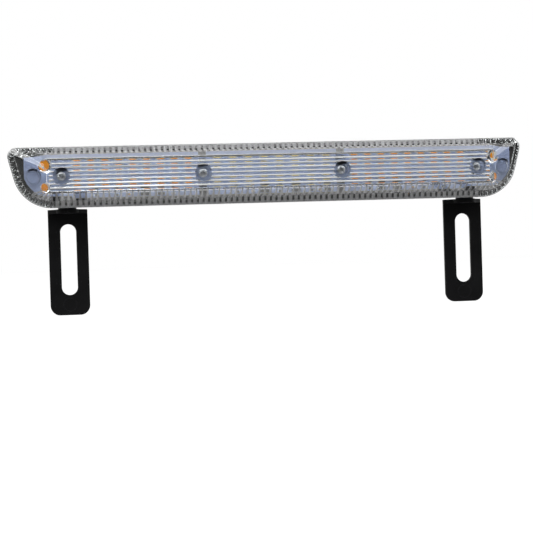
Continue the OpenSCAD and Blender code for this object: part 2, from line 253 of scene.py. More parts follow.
def settle(obj, name, body, slot, material, *nodes):
    """Names a piece, gives it its material, or list of them, and ties it to the frame."""
    obj.name = name
    obj.data.name = name
    several = material if isinstance(material, list) else [material]
    indices = [min(p.material_index, len(several) - 1) for p in obj.data.polygons]
    obj.data.materials.clear()
    for each in several:
        obj.data.materials.append(each)
    obj.data.polygons.foreach_set("material_index", indices)
    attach(obj, body)
    if nodes:
        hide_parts(*nodes)
    return obj


# ---- outlines, in x and z ----


def arc(centre, r, start, end, steps):
    """Points along an arc from one angle to another, in degrees."""
    turn = np.radians(np.linspace(start, end, steps + 1))
    return np.c_[centre[0] + r * np.cos(turn), centre[1] + r * np.sin(turn)]


def end_outline(top, top_r, low, low_r, steps=24):
    """The right-hand end of an outline, from the top going down to the bottom."""
    d = np.subtract(low, top)
    side = math.degrees(math.atan2(d[1], d[0]) + math.acos((top_r - low_r) / np.hypot(*d)))
    return np.r_[arc(top, top_r, 90, side, steps), arc(low, low_r, side, -90, steps)]


def rim_end(inset):
    """The right-hand end of the rim, moved inwards."""
    top_r = max(RIM_TOP_R - inset, LEAST_R)
    return end_outline(
        (HALF_LENGTH - inset - top_r, HALF_HEIGHT - inset - top_r), top_r,
        (HALF_LENGTH - RIM_LOW_INSET - RIM_LOW_R, RIM_LOW_R - HALF_HEIGHT), RIM_LOW_R - inset)


def window_end(inset):
    """The right-hand end of the window, moved inwards."""
    r = max(WINDOW_CORNER_R - inset, LEAST_R)
    x = WINDOW_HALF_LENGTH - inset - r
    z = WINDOW_HALF_HEIGHT - inset - r
    return end_outline((x, z), r, (x, -z), r)


def along(points, shares):
    """Points at the given shares of a line's length."""
    steps = np.hypot(*np.diff(points, axis=0).T)
    at = np.r_[0, np.cumsum(steps)] / steps.sum()
    return np.c_[np.interp(shares, at, points[:, 0]), np.interp(shares, at, points[:, 1])]


class Ring:
    """Points around the lens, a fixed number for each rib: top, right end, bottom, left end.

    spread is half a rib's width as a share of the pitch; the rib lies between points 2 and 6 of 8.
    """

    SAMPLES = 8
    MIDDLE = 4
    # Heights over one pitch, as shares: a round rib, a pointed tooth and a pair of prisms.
    SHAPE = np.array([0, 0, 0, 0.75, 1, 0.75, 0, 0])
    TOOTH = np.array([0, 0, 0, 0.5, 1, 0.5, 0, 0])
    PRISM = np.array([0, 0, 0, 1, 0, 1, 0, 0])
    IS_RIB = np.array([0, 0, 1, 1, 1, 1, 0, 0]) > 0

    def __init__(self):
        self.straight_ribs = round(2 * STRAIGHT_X / RIB_PITCH)
        self.end_ribs = round(self.length(rim_end(0)) / RIB_PITCH)
        counts = (self.straight_ribs, self.end_ribs) * 2
        self.shape, self.tooth, self.prism, self.is_rib = (
            np.tile(one, sum(counts)) for one in (self.SHAPE, self.TOOTH, self.PRISM, self.IS_RIB))
        self.at_end = np.repeat([False, True, False, True], [self.SAMPLES * n for n in counts])
        rim = self.rim(0, RIB_SPREAD).reshape(-1, self.SAMPLES, 2)
        x, z = np.repeat(rim[:, self.MIDDLE], self.SAMPLES, axis=0).T
        reach = np.where(z > 0, WALL_RIB_TOP_X, WALL_RIB_LOW_X)
        self.on_wall = (np.abs(x) < reach) & (np.abs(z) > WALL_RIB_LEAST_Z)

    @staticmethod
    def end_line(half_height, end):
        """The line round a right-hand end, from where the straight ribs stop."""
        return np.r_[[[STRAIGHT_X, half_height]], end, [[STRAIGHT_X, -half_height]]]

    def length(self, end):
        """How long the rim is round its right-hand end."""
        return np.hypot(*np.diff(self.end_line(HALF_HEIGHT, end), axis=0).T).sum()

    def shares(self, ribs, spread):
        """Where the points of this many ribs lie, as shares of the whole stretch."""
        valley = (0.5 - spread) / 2
        rising = np.array([0, valley, 2 * valley, 0.5 - spread / 2])
        one = np.r_[rising, 0.5, 1 - rising[:0:-1]]
        return ((np.arange(ribs)[:, None] + one) / ribs).ravel()

    def points(self, half_height, end, spread):
        """The ring's points for a right-hand end that starts and ends at this half height."""
        line = self.end_line(half_height, end)
        share = self.shares(self.end_ribs, spread)
        x = STRAIGHT_X * (2 * self.shares(self.straight_ribs, spread) - 1)
        upper = np.c_[x, np.full(len(x), half_height)]
        lower = np.c_[-x, np.full(len(x), -half_height)]
        return np.r_[upper, along(line, share), lower, along(line, 1 - share) * [-1, 1]]

    def rim(self, inset, spread=PLAIN_SPREAD):
        """The rim's outline, moved inwards."""
        return self.points(HALF_HEIGHT - inset, rim_end(inset), spread)

    def window(self, inset, spread=PLAIN_SPREAD):
        """The window's outline, moved inwards."""
        return self.points(WINDOW_HALF_HEIGHT - inset, window_end(inset), spread)


def lofted(name, levels, finishes):
    """A closed solid through rings of points; each level is (x and z of its points, y).

    finishes gives, for each level but the last, the material index of the face that each point starts.
    """
    n = len(levels[0][0])
    verts = [(x, y, z) for ring, depth in levels for (x, z), y in zip(ring, np.broadcast_to(depth, n))]
    faces = []
    for k in range(len(levels) - 1):
        for i in range(n):
            j = (i + 1) % n
            faces.append((k * n + i, k * n + j, (k + 1) * n + j, (k + 1) * n + i))
    faces += [tuple(range(n)), tuple(range(len(verts) - n, len(verts)))]
    obj = object_of(name, verts, faces)
    for polygon, index in zip(obj.data.polygons, np.concatenate(finishes)):
        polygon.material_index = int(index)
    return obj


def cylinder(r, from_y, to_y, x, segments=64):
    """A cutter along y, at the bar's middle height."""
    bm = bmesh.new()
    bmesh.ops.create_cone(
        bm, cap_ends=True, segments=segments, radius1=r, radius2=r, depth=to_y - from_y,
        matrix=Matrix.Translation((x, (from_y + to_y) / 2, 0)) @ Matrix.Rotation(math.pi / 2, 4, "X"))
    return object_from_bmesh("cylinder", bm)


# ---- lens ----


def inward(points, amount):
    """Moves each point of a ring towards the middle of the section."""
    ahead = np.roll(points, -1, axis=0) - np.roll(points, 1, axis=0)
    normal = np.c_[ahead[:, 1], -ahead[:, 0]] / np.hypot(*ahead.T)[:, None]
    return points + normal * np.broadcast_to(amount, len(points))[:, None]


def outer_form():
    """The outside of the lens, with prisms cut into its seat at the ends."""
    ring = Ring()
    ends = ring.at_end[:, None]
    roof = np.where(ring.at_end, SEAT_Y - PRISM_DEPTH * ring.prism, SEAT_Y)

    def seat(inset):
        """A line on the rim's back, with the end points in step with the teeth."""
        return np.where(ends, ring.rim(inset, TOOTH_SPREAD), ring.rim(inset))

    back = [
        (seat(SEAT_WIDTH), roof),
        (seat(PRISM_INSET + 0.1), roof),
        (seat(PRISM_INSET), SEAT_Y)]
    front = [
        (ring.rim(0), SEAT_Y),
        # the rounded edge of the rim
        (ring.rim(0), EDGE_Y + EDGE_ROUND),
        (ring.rim(0.08), EDGE_Y + 0.06),
        (ring.rim(0.3), EDGE_Y - 0.05),
        # the corner between flange and wall
        (ring.rim(FLANGE_WIDTH - 0.3), FLANGE_Y + 0.12),
        (ring.rim(FLANGE_WIDTH), FLANGE_Y - 0.15),
        # the shoulder, where the wall turns towards the window
        (ring.rim(SHOULDER_INSET), SHOULDER_Y + 0.4),
        (ring.rim(SHOULDER_INSET + 0.12), SHOULDER_Y - 0.1),
        # the rounded edge of the window
        (ring.window(-EDGE_ROUND), FACE_Y + EDGE_ROUND),
        (ring.window(0), FACE_Y + 0.06),
        (ring.window(EDGE_ROUND), FACE_Y)]
    seat_finish = np.where(ring.at_end, CLEAR, MATT_PAINTED_REFLECTION)
    clear = np.full(len(seat_finish), CLEAR)
    return lofted("outer", back + front, [seat_finish] * len(back) + [clear] * (len(front) - 1))


def inner_form():
    """The hollow of the lens: frosted flange, toothed at the ends, and ribs that taper up the walls; the pale
    grey of the frosted and matt faces is a painted reflection.
    """
    ring = Ring()
    end = ring.at_end
    upper = ring.rim(0)[:, 1] > 0
    tooth = ring.tooth * TOOTH_HEIGHT
    toothed = inward(ring.rim(VALLEY_INSET, TOOTH_SPREAD), tooth)
    groove_y = RIM_Y - GROOVE_ROOF - GROOVE_DEPTH * (1 - ring.shape)
    skin_y = EDGE_Y + FLANGE_SKIN - FLANGE_RISE * (VALLEY_INSET + tooth) / SEAT_WIDTH
    step_y = FLANGE_Y + FLANGE_SKIN

    def flange(inset):
        """A line under the flange; at the ends, the line of the teeth."""
        return np.where(end[:, None], toothed, ring.rim(inset, RIB_SPREAD))

    def past_seat(share):
        """The depth of the grooves; at the ends, a place behind the seat."""
        return np.where(end, RIM_Y + share * OVERSHOOT, groove_y)

    rib = ring.shape * ring.on_wall * RIB_HEIGHT
    low_rib = np.where(upper, 0.0, rib)
    foot = ring.rim(FLANGE_WIDTH + SIDE_WALL, FOOT_SPREAD)
    shoulder = ring.rim(SHOULDER_INSET + SIDE_WALL, SHOULDER_SPREAD)
    brow = ring.window(WALL / 2, BROW_SPREAD)
    shoulder_y = SHOULDER_Y + SIDE_WALL / 2
    brow_y = FACE_Y + WALL + 0.15
    levels = [
        (flange(VALLEY_INSET), RIM_Y + OVERSHOOT),
        (flange(VALLEY_INSET), past_seat(0.5)),
        (np.where(upper[:, None], flange(FROST_TOP), flange(FROST_LOW)), past_seat(0.4)),
        (flange(FLANGE_WIDTH), past_seat(0.2)),
        (flange(FLANGE_WIDTH + 0.1), np.where(end, skin_y, step_y)),
        (inward(foot, rib), step_y - 0.05),
        (inward(shoulder, rib), shoulder_y),
        (inward(shoulder + (brow - shoulder) * RIB_TOP_REACH, low_rib * (1 - RIB_TAPER * RIB_TOP_REACH)),
         shoulder_y + (brow_y - shoulder_y) * RIB_TOP_REACH),
        (inward(brow, low_rib * (1 - RIB_TAPER)), brow_y),
        (ring.window(WALL / 2 + 0.2, BROW_SPREAD), FACE_Y + WINDOW_SKIN)]
    plain = np.full(len(end), CLEAR)
    groove = np.where(end, CLEAR, np.where(ring.is_rib, MATT_PAINTED_REFLECTION, FROSTED_PAINTED_REFLECTION))
    land = np.where(end | ~ring.is_rib, CLEAR, MATT_PAINTED_REFLECTION)
    wall = np.where(ring.is_rib & ring.on_wall, FROSTED_PAINTED_REFLECTION, CLEAR)
    low_wall = np.where(upper, CLEAR, wall)
    return lofted("inner", levels, [plain, groove, land, land, wall, wall, wall, low_wall, plain])


def flute_bars():
    """Ridges along the inside of the window, each a cylindrical lens."""
    base_y = FACE_Y + WINDOW_SKIN
    root_y = base_y - FLUTE_ROOT
    half = FLUTE_PITCH / 2
    length = WINDOW_HALF_LENGTH - WALL / 2 - FLUTE_END_GAP
    verts, faces = [], []
    for k in range(FLUTES):
        mid = (k - (FLUTES - 1) / 2) * FLUTE_PITCH
        crown = [(mid + half * share, base_y + FLUTE_RISE * (1 - abs(share) ** FLUTE_POWER))
                 for share in np.linspace(-1, 1, FLUTE_STEPS + 1)]
        profile = [(mid - half, root_y), *crown, (mid + half, root_y)]
        start = len(verts)
        n = len(profile)
        for x in (-length, length):
            verts += [(x, y, z) for z, y in profile]
        faces += [(start + i, start + (i + 1) % n, start + n + (i + 1) % n, start + n + i) for i in range(n)]
        faces += [tuple(range(start, start + n)), tuple(range(start + n, start + 2 * n))]
    return verts, faces


def ball(r, centre):
    """A ball to cut with."""
    bm = bmesh.new()
    bmesh.ops.create_uvsphere(bm, u_segments=48, v_segments=32, radius=r, matrix=Matrix.Translation(centre))
    return object_from_bmesh("ball", bm)


def make_lens(materials):
    """The clear cover as one solid: shell, flutes, beads, screw wells and locating tubes."""
    lens = outer_form()
    before = FACE_Y - CUTTER_GAP
    behind = BOARD_Y + CUTTER_GAP
    for x in SCREW_XS:
        cut(lens, cylinder(WELL_BORE_R, before, BOARD_Y - WELL_FLOOR, x))
    inner = inner_form()
    cut(inner, object_of("flutes", *flute_bars()))
    for side in (-1, 1):
        for z, depth, r in BEADS:
            cut(inner, ball(r, (side * BEAD_X, FACE_Y + depth - r, z)))
    for x in SCREW_XS:
        cut(inner, cylinder(WELL_R, before, BOARD_Y, x))
    for side in (-1, 1):
        tube = cylinder(TUBE_R, before, BOARD_Y, side * TUBE_X)
        bore = cylinder(TUBE_R - TUBE_WALL, before - CUTTER_GAP, behind, side * TUBE_X)
        cut(tube, bore)
        cut(inner, tube)
    cut(lens, inner)
    for x in SCREW_XS:
        cut(lens, cylinder(SCREW_HOLE_R, FACE_Y, behind, x, segments=32))
    smooth_by_angle(lens, 15)
    return settle(lens, "lens", "lamp", "clear_polycarbonate", materials, "lens_cover")


# ---- materials ----


class Nodes:
    """Short ways to add nodes to the tree of a material or of the world."""

    MIX_SHARE, MIX_A, MIX_B, MIX_RESULT = 0, 6, 7, 2

    def __init__(self, tree):
        self.tree = tree

    def put(self, value, socket):
        """Gives a socket a constant, or links it to another socket."""
        if isinstance(value, bpy.types.NodeSocket):
            self.tree.links.new(value, socket)
        else:
            socket.default_value = value

    def node(self, kind, inputs=None, **settings):
        """A new node with its settings, and with constants or links on its inputs."""
        node = self.tree.nodes.new("ShaderNode" + kind)
        for key, value in settings.items():
            setattr(node, key, value)
        for key, value in (inputs or {}).items():
            self.put(value, node.inputs[key])
        return node

    def span(self, value, low, high, from_low=0.3, from_high=0.7):
        """Carries a value from one span to another, and holds it at the ends."""
        return self.node("MapRange", {"Value": value, "From Min": from_low, "From Max": from_high,
                                      "To Min": low, "To Max": high}).outputs[0]

    def math(self, operation, a, b=0.0):
        """The result of a sum on two values, or on the first alone."""
        return self.node("Math", {0: a, 1: b}, operation=operation).outputs[0]

    def mix(self, share, a, b):
        """A colour between two colours."""
        inputs = {self.MIX_SHARE: share, self.MIX_A: a, self.MIX_B: b}
        return self.node("Mix", inputs, data_type="RGBA").outputs[self.MIX_RESULT]

    def part(self, vector, axis):
        """One axis of a vector."""
        return self.node("SeparateXYZ", {0: vector}).outputs["XYZ".index(axis)]


class Shade(Nodes):
    """One material; its patterns are sized by features a millimetre."""

    def __init__(self, name, **constants):
        self.material = bpy.data.materials.new(name)
        self.material.use_nodes = True
        super().__init__(self.material.node_tree)
        self.shader = self.tree.nodes["Principled BSDF"]
        self.coords = self.node("TexCoord").outputs["Object"]
        for key, value in constants.items():
            self.set(key, value)

    def set(self, key, value):
        """Gives one of the shader's inputs a constant or a link."""
        self.put(value, self.shader.inputs[key.replace("_", " ")])

    def noise(self, per_mm, detail=4, stretch=(1, 1, 1)):
        """Noise of about this many features a millimetre."""
        scale = tuple(per_mm / MM * s for s in stretch)
        scaled = self.node("Mapping", {"Vector": self.coords, "Scale": scale})
        noise = self.node("TexNoise", {"Vector": scaled.outputs[0], "Scale": 1.0, "Detail": detail})
        return noise.outputs["Fac"]

    def bump(self, height, mm):
        """Relief of this depth on the shader."""
        bump = self.node("Bump", {"Height": height, "Distance": mm * MM, "Strength": 1.0})
        self.set("Normal", bump.outputs[0])

    def edge(self, radius_mm=0.35):
        """One where the surface is bent sharply, nought where it is flat."""
        bevel = self.node("Bevel", {"Radius": radius_mm * MM}, samples=6)
        flat = self.node("NewGeometry").outputs["Normal"]
        dot = self.node("VectorMath", {0: bevel.outputs[0], 1: flat}, operation="DOT_PRODUCT")
        return self.span(dot.outputs["Value"], 1.0, 0.0, 0.85, 0.995)


def darker(colour, share):
    """This share of a linear colour, with its alpha kept."""
    return (*(share * c for c in colour[:3]), 1.0)


def frosted_plastic_with_painted_reflection(name, clearness, dark, pale):
    """The same plastic where the mould was matt: it scatters part of the light, and its pale grey colour is a
    painted reflection of the white surroundings that clear ribs and prisms show.
    """
    s = Shade(name, Transmission_Weight=clearness, IOR=1.53)
    s.set("Base_Color", s.mix(s.span(s.noise(0.8), 0.0, 1.0), srgb(*dark), srgb(*pale)))
    s.set("Roughness", s.span(s.noise(1.5), 0.2, 0.34))
    s.bump(s.noise(4), 0.01)
    return s.material


def clear_plastic():
    """Polished clear plastic, very slightly uneven."""
    s = Shade("clear_polycarbonate", Base_Color=srgb(250, 252, 252), Transmission_Weight=1.0, IOR=1.53)
    s.set("Roughness", s.span(s.noise(0.25), 0.008, 0.03))
    s.bump(s.noise(0.35, detail=2), 0.004)
    return s.material


def moulded(name, colour, wear_and_highlight_colour, rough, grain_per_mm=5.0, gloss=0.4):
    """Moulded plastic or rubber: fine grain, uneven gloss, and paler edges that are partly wear and partly a
    painted highlight along the edges.
    """
    s = Shade(name, Specular_IOR_Level=gloss)
    base = srgb(*colour)
    pale = (*(min(1.0, c * 1.35 + 0.002) for c in base[:3]), 1.0)
    body = s.mix(s.span(s.noise(0.08, detail=5), 0.0, 1.0), base, pale)
    # paler colour painted where the surface bends sharply: partly rubbed wear, partly a painted edge
    # highlight
    wear_and_highlight_mask = s.math("MULTIPLY", s.edge(), s.span(s.noise(0.6), 0.1, 0.7))
    s.set("Base_Color", s.mix(wear_and_highlight_mask, body, srgb(*wear_and_highlight_colour)))
    s.set("Roughness", s.span(s.noise(0.3), rough - 0.07, rough + 0.08))
    s.bump(s.noise(grain_per_mm, detail=3), 0.012)
    return s.material


def metal(name, colour, rough, scratch=(1, 1, 12)):
    """Plated or bare metal with fine drawn marks and duller patches."""
    s = Shade(name, Metallic=1.0)
    dull = s.span(s.noise(1.2, detail=5), 0.0, 0.45, 0.45, 0.75)
    s.set("Base_Color", s.mix(dull, srgb(*colour), darker(srgb(*colour), 0.6)))
    s.set("Roughness", s.span(s.noise(2.5, stretch=scratch), rough - 0.08, rough + 0.12))
    s.bump(s.noise(6, stretch=scratch), 0.01)
    return s.material


def board_mask():
    """Pale blue-white solder mask on the faces, bare glass epoxy on the cut edges."""
    s = Shade("board_white_mask", Specular_IOR_Level=0.5)
    facing = s.math("ABSOLUTE", s.part(s.node("TexCoord").outputs["Normal"], "Y"))
    cut = s.span(facing, 1.0, 0.0, 0.4, 0.6)
    mask = s.mix(s.span(s.noise(0.12, detail=5), 0.0, 1.0), srgb(154, 168, 207), srgb(165, 178, 215))
    weave = s.node("TexWave", {"Vector": s.coords, "Scale": 1.4 / MM, "Distortion": 1.5}).outputs["Fac"]
    laminate = s.mix(weave, srgb(112, 106, 62), srgb(148, 138, 86))
    s.set("Base_Color", s.mix(cut, mask, laminate))
    s.set("Roughness", s.span(s.noise(0.5), 0.28, 0.42))
    s.bump(s.noise(2.2, detail=3), 0.01)
    return s.material


def resin(name, colour, deep):
    """Cast lamp resin: cloudy colour under a smooth skin."""
    s = Shade(name, Specular_IOR_Level=0.5)
    s.set("Base_Color", s.mix(s.span(s.noise(1.6, detail=5), 0.0, 1.0), srgb(*colour), srgb(*deep)))
    s.set("Roughness", s.span(s.noise(1.5), 0.17, 0.3))
    s.bump(s.noise(2.0), 0.012)
    return s.material


def ceramic(name, colour, speck, rough):
    """Fired or filled material with fine specks."""
    s = Shade(name)
    s.set("Base_Color", s.mix(s.span(s.noise(7, detail=6), 0.0, 1.0), srgb(*colour), srgb(*speck)))
    s.set("Roughness", s.span(s.noise(3), rough - 0.08, rough + 0.1))
    s.bump(s.noise(9), 0.006)
    return s.material


MATERIALS = {
    "clear_polycarbonate": clear_plastic(),
    "black_abs": moulded("black_abs", (15, 15, 17), (31, 31, 33), 0.42, gloss=0.22),
    # the brackets' pale edge colour is partly a painted edge highlight
    "bracket_nylon": moulded("bracket_nylon", (7, 7, 8), (46, 46, 49), 0.55, grain_per_mm=3.5, gloss=0.1),
    "gasket_rubber": moulded("gasket_rubber", (30, 30, 30), (48, 48, 48), 0.7),
    "grommet_rubber": moulded("grommet_rubber", (24, 24, 24), (52, 52, 52), 0.62),
    "nylon_washer": moulded("nylon_washer", (20, 20, 21), (44, 44, 46), 0.45),
    "board_white_mask": board_mask(),
    "tin_solder": metal("tin_solder", (205, 206, 208), 0.28, scratch=(1, 1, 1)),
    "zinc_steel": metal("zinc_steel", (196, 198, 202), 0.3),
    "blackened_steel": metal("blackened_steel", (52, 52, 56), 0.36),
    "brass": metal("brass", (200, 164, 92), 0.26),
    "lamp_package": ceramic("lamp_package", (236, 230, 212), (226, 218, 196), 0.45),
    "amber_phosphor": resin("amber_phosphor", (255, 164, 12), (254, 148, 2)),
    "white_phosphor": resin("white_phosphor", (240, 222, 160), (228, 200, 124)),
    "chip_epoxy": ceramic("chip_epoxy", (30, 30, 32), (44, 44, 46), 0.5),
    "resistor_glaze": ceramic("resistor_glaze", (22, 24, 30), (32, 34, 40), 0.3),
    "capacitor_ceramic": ceramic("capacitor_ceramic", (166, 130, 92), (148, 112, 76), 0.42),
}


def place(obj, name, *nodes):
    """Settles a piece that stands for CAD nodes: body and finish are theirs."""
    slot = NODE_SLOT[nodes[0]]
    return settle(obj, name, NODE_BODY[nodes[0]], slot, MATERIALS[slot], *nodes)


# ---- CAD nodes with rounded edges ----

FLAT_DEGREES = 0.5
BEVEL_DEGREES = 35
SHARP_DEGREES = 32


def rounded(node, width_mm, segments=2):
    """Stands for a CAD node: the same shape with its edges rounded."""
    mesh = NODES[node].data.copy()
    bm = bmesh.new()
    bm.from_mesh(mesh)
    bmesh.ops.remove_doubles(bm, verts=bm.verts, dist=MERGE_M)
    bmesh.ops.dissolve_limit(bm, angle_limit=math.radians(FLAT_DEGREES), verts=bm.verts, edges=bm.edges)
    bm.to_mesh(mesh)
    bm.free()
    obj = new_object(node, mesh)
    bevel = obj.modifiers.new("round", "BEVEL")
    bevel.width = width_mm * MM
    bevel.segments = segments
    bevel.limit_method = "ANGLE"
    bevel.angle_limit = math.radians(BEVEL_DEGREES)
    bevel.harden_normals = False
    apply_modifiers(obj)
    smooth_by_angle(obj, SHARP_DEGREES)
    flatten = obj.modifiers.new("flatten", "WEIGHTED_NORMAL")
    flatten.keep_sharp = True
    flatten.weight = 100
    apply_modifiers(obj)
    return place(obj, node + "_finished", node)


# ---- small parts, added one after another to one mesh in millimetres ----


def add_loop_solid(bm, loops):
    """A closed solid through loops of points with the same count."""
    rings = [[bm.verts.new(p) for p in loop] for loop in loops]
    n = len(rings[0])
    for a, b in zip(rings, rings[1:]):
        for i in range(n):
            bm.faces.new((a[i], a[(i + 1) % n], b[(i + 1) % n], b[i]))
    bm.faces.new(rings[0])
    bm.faces.new(rings[-1])


def rounded_loop(centre, half_x, half_z, y, r, notch=None, steps=4):
    """A rounded rectangle at depth y; notch gives the size of a straight cut at its lower left corner."""
    points = []
    for sx, sz, start in ((1, 1, 0), (-1, 1, 90), (-1, -1, 180), (1, -1, 270)):
        notched = notch is not None and (sx, sz) == (-1, -1)
        size = notch if notched else r
        turn_centre = (centre[0] + sx * (half_x - size), centre[2] + sz * (half_z - size))
        turn = arc(turn_centre, size, start, start + 90, steps)
        points += list(np.linspace(turn[0], turn[-1], steps + 1) if notched else turn)
    return [(x, y, z) for x, z in points]


def add_stepped(bm, mid, half, levels):
    """A closed solid through rounded rectangles; each level is (inset, y, corner radius, notch if any)."""
    add_loop_solid(bm, [rounded_loop(mid, half[0] - inset, half[2] - inset, y, *corners)
                        for inset, y, *corners in levels])


def add_soft_box(bm, low, high, edge, crown=0.0):
    """A box with rounded edges, standing on its back face, a little crowned in front."""
    mid = (low + high) / 2
    half_x, half_y, half_z = (high - low) / 2
    back, front = mid[1] + half_y, mid[1] - half_y
    r = min(edge, half_x * 0.9, half_z * 0.9)
    add_loop_solid(bm, [
        rounded_loop(mid, half_x, half_z, back, r),
        rounded_loop(mid, half_x, half_z, front + edge, r),
        rounded_loop(mid, half_x - edge * 0.3, half_z - edge * 0.3, front + edge * 0.3, r),
        rounded_loop(mid, half_x - edge, half_z - edge, front, r * 0.7),
        rounded_loop(mid, (half_x - edge) * 0.5, (half_z - edge) * 0.5, front - crown, r * 0.4)])


def smoothed(bm, name, degrees):
    """A smoothly shaded mesh object from a bmesh in millimetres."""
    obj = object_from_bmesh(name, bm)
    smooth_by_angle(obj, degrees)
    return obj


def finish_small(bm, name, *nodes, degrees=35):
    """A piece of small parts that stands for CAD nodes."""
    return place(smoothed(bm, name, degrees), name, *nodes)


def extra(bm, name, slot):
    """A piece of the lamp that no CAD node stands for."""
    return settle(smoothed(bm, name, 35), name, "lamp", slot, MATERIALS[slot])


RESIN_SPILL = 0.2
RESIN_PROUD = 0.02
RESIN_SKIN = [(1.0, 0.12), (0.95, 0.06), (0.7, 0.02), (0.4, 0.005), (0.1, 0.0)]


def make_lamps(colour):
    """Lamp packages with a cup and a cut corner, and the resin that fills each cup over its rim.

    RESIN_SKIN gives the resin's dome as (share of its half width, depth behind its front).
    """
    cases, fills = bmesh.new(), bmesh.new()
    packages = islands(colour + "_led_packages")
    for low, high in packages:
        front, back = low[1], high[1]
        add_stepped(cases, (low + high) / 2, (high - low) / 2, [
            (0.06, back, 0.12, 0.5),
            (0.0, back - 0.12, 0.15, 0.5),
            (0.0, front + 0.1, 0.15, 0.5),
            (0.08, front, 0.15, 0.46),
            (0.2, front, 0.5),
            (0.27, front + 0.08, 0.5),
            (0.45, front + 0.4, 0.45)])
    for (low, high), (case_low, _) in zip(islands(colour + "_led_phosphors"), packages):
        mid = (low + high) / 2
        half_x, _, half_z = (high - low) / 2 + RESIN_SPILL
        front = case_low[1] - RESIN_PROUD
        foot = rounded_loop(mid, half_x - 0.3, half_z - 0.3, high[1] - 0.02, 0.3)
        skin = [rounded_loop(mid, half_x * left, half_z * left, front + depth, 0.45 * left + 0.02)
                for left, depth in RESIN_SKIN]
        add_loop_solid(fills, [foot] + skin)
    finish_small(cases, colour + "_lamp_cases", colour + "_led_packages")
    finish_small(fills, colour + "_lamp_resin", colour + "_led_phosphors", degrees=60)


def make_solder():
    """Solder on the pads, crowned by surface tension."""
    bm = bmesh.new()
    for low, high in islands("solder_pads"):
        add_soft_box(bm, low, high, min(0.06, (high - low)[1] * 0.6), 0.02)
    finish_small(bm, "solder_fillets", "solder_pads", degrees=70)


def make_chips():
    """Eight-lead packages: sloped body and gull-wing leads."""
    leads_a_side = 4
    section = ((-0.2, -0.06), (0.2, -0.06), (0.2, 0.06), (-0.2, 0.06))
    bodies, leads = bmesh.new(), bmesh.new()
    for low, high in islands("driver_chips"):
        mid, half = (low + high) / 2, (high - low) / 2
        front, seam, back = low[1], mid[1], high[1]
        add_stepped(bodies, mid, half, [
            (0.12, back - 0.08, 0.1),
            (0.0, seam, 0.1),
            (0.1, front + 0.04, 0.1),
            (0.16, front, 0.1)])
        spacing = (high - low)[0] / 4.2
        reach = half[2]
        path = [(reach - 0.05, seam), (reach + 0.14, seam),
                (reach + 0.2, back - 0.12), (reach + 0.42, back - 0.06)]
        for k in range(leads_a_side):
            x = mid[0] + (k - (leads_a_side - 1) / 2) * spacing
            for side in (-1, 1):
                add_loop_solid(leads, [[(x + dx, y + dy, mid[2] + side * z) for dx, dy in section]
                                       for z, y in path])
    finish_small(bodies, "chip_bodies", "driver_chips")
    extra(leads, "chip_leads", "tin_solder")


def make_resistors():
    """Glazed blocks between plated ends."""
    bodies, ends = bmesh.new(), bmesh.new()
    for low, high in islands("resistor_bodies"):
        add_soft_box(bodies, low, high, 0.07, 0.03)
    for low, high in islands("resistor_terminals"):
        add_soft_box(ends, low, high, 0.09)
    finish_small(bodies, "resistor_glaze", "resistor_bodies")
    finish_small(ends, "resistor_ends", "resistor_terminals")


def make_capacitors():
    """Ceramic blocks between plated caps that wrap round their ends."""
    end_width = 0.42
    bodies, ends = bmesh.new(), bmesh.new()
    for low, high in islands("capacitors"):
        add_soft_box(bodies, low + [0.3, 0.04, 0.04], high - [0.3, 0, 0.04], 0.06)
        rest = [(high - low)[0] - end_width, 0, 0]
        add_soft_box(ends, low, high - rest, 0.12)
        add_soft_box(ends, low + rest, high, 0.12)
    finish_small(bodies, "capacitor_bodies", "capacitors")
    extra(ends, "capacitor_ends", "tin_solder")


def make_diodes():
    """Moulded diodes with flat leads that fold down and under."""
    section = ((-0.6, 0, -0.05), (0.6, 0, -0.05), (0.6, 0.05, 0.05), (-0.6, 0.05, 0.05))
    bodies, leads = bmesh.new(), bmesh.new()
    for low, high in islands("rectifier_diodes"):
        mid = (low + high) / 2
        half_x, _, half_z = (high - low) / 2
        front, seam, back = low[1], mid[1], high[1]
        add_loop_solid(bodies, [
            rounded_loop(mid, half_x - 0.28, half_z - 0.14, back - 0.05, 0.1),
            rounded_loop(mid, half_x - 0.1, half_z, seam, 0.1),
            rounded_loop(mid, half_x - 0.2, half_z - 0.12, front + 0.05, 0.1),
            rounded_loop(mid, half_x - 0.26, half_z - 0.18, front, 0.1)])
        path = [(half_x - 0.3, seam + 0.02), (half_x + 0.02, seam + 0.02), (half_x + 0.04, back - 0.09),
                (half_x - 0.5, back - 0.05)]
        for side in (-1, 1):
            add_loop_solid(leads, [[(mid[0] + side * (x + dx), y + dy, mid[2] + dz) for dz, dx, dy in section]
                                   for x, y in path])
    finish_small(bodies, "diode_bodies", "rectifier_diodes")
    extra(leads, "diode_leads", "tin_solder")


# ---- screws ----


def turned(name, profile, segments=48):
    """A lathe-turned solid about the y axis through points of (radius, y)."""
    angles = np.radians(np.arange(segments) * 360 / segments)
    bm = bmesh.new()
    add_loop_solid(bm, [[(r * math.cos(a), y, r * math.sin(a)) for a in angles] for r, y in profile])
    return object_from_bmesh(name, bm)


def cut_cross(screw, r, depth, head_y):
    """Cuts a cross recess, two tapered blades, into a head that faces -y."""
    levels = (
        (head_y - OVERSHOOT, r, 0.42),
        (head_y + depth * 0.35, r * 0.92, 0.36),
        (head_y + depth, r * 0.3, 0.2))
    for along_x in (True, False):
        loops = []
        for y, length, width in levels:
            w = width * r / 1.3
            a, b = (length, w) if along_x else (w, length)
            loops.append([(-a, y, -b), (a, y, -b), (a, y, b), (-a, y, b)])
        bm = bmesh.new()
        add_loop_solid(bm, loops)
        cut(screw, object_from_bmesh("cross", bm))


def thread_profile(r, start, end, pitch, depth):
    """Turns of thread from start to near the end, then a point."""
    points = []
    y = start
    while y < end - 2 * pitch:
        points += [(r - depth, y), (r, y + pitch / 2)]
        y += pitch
    return points + [(r - depth, y), (r * 0.5, end)]


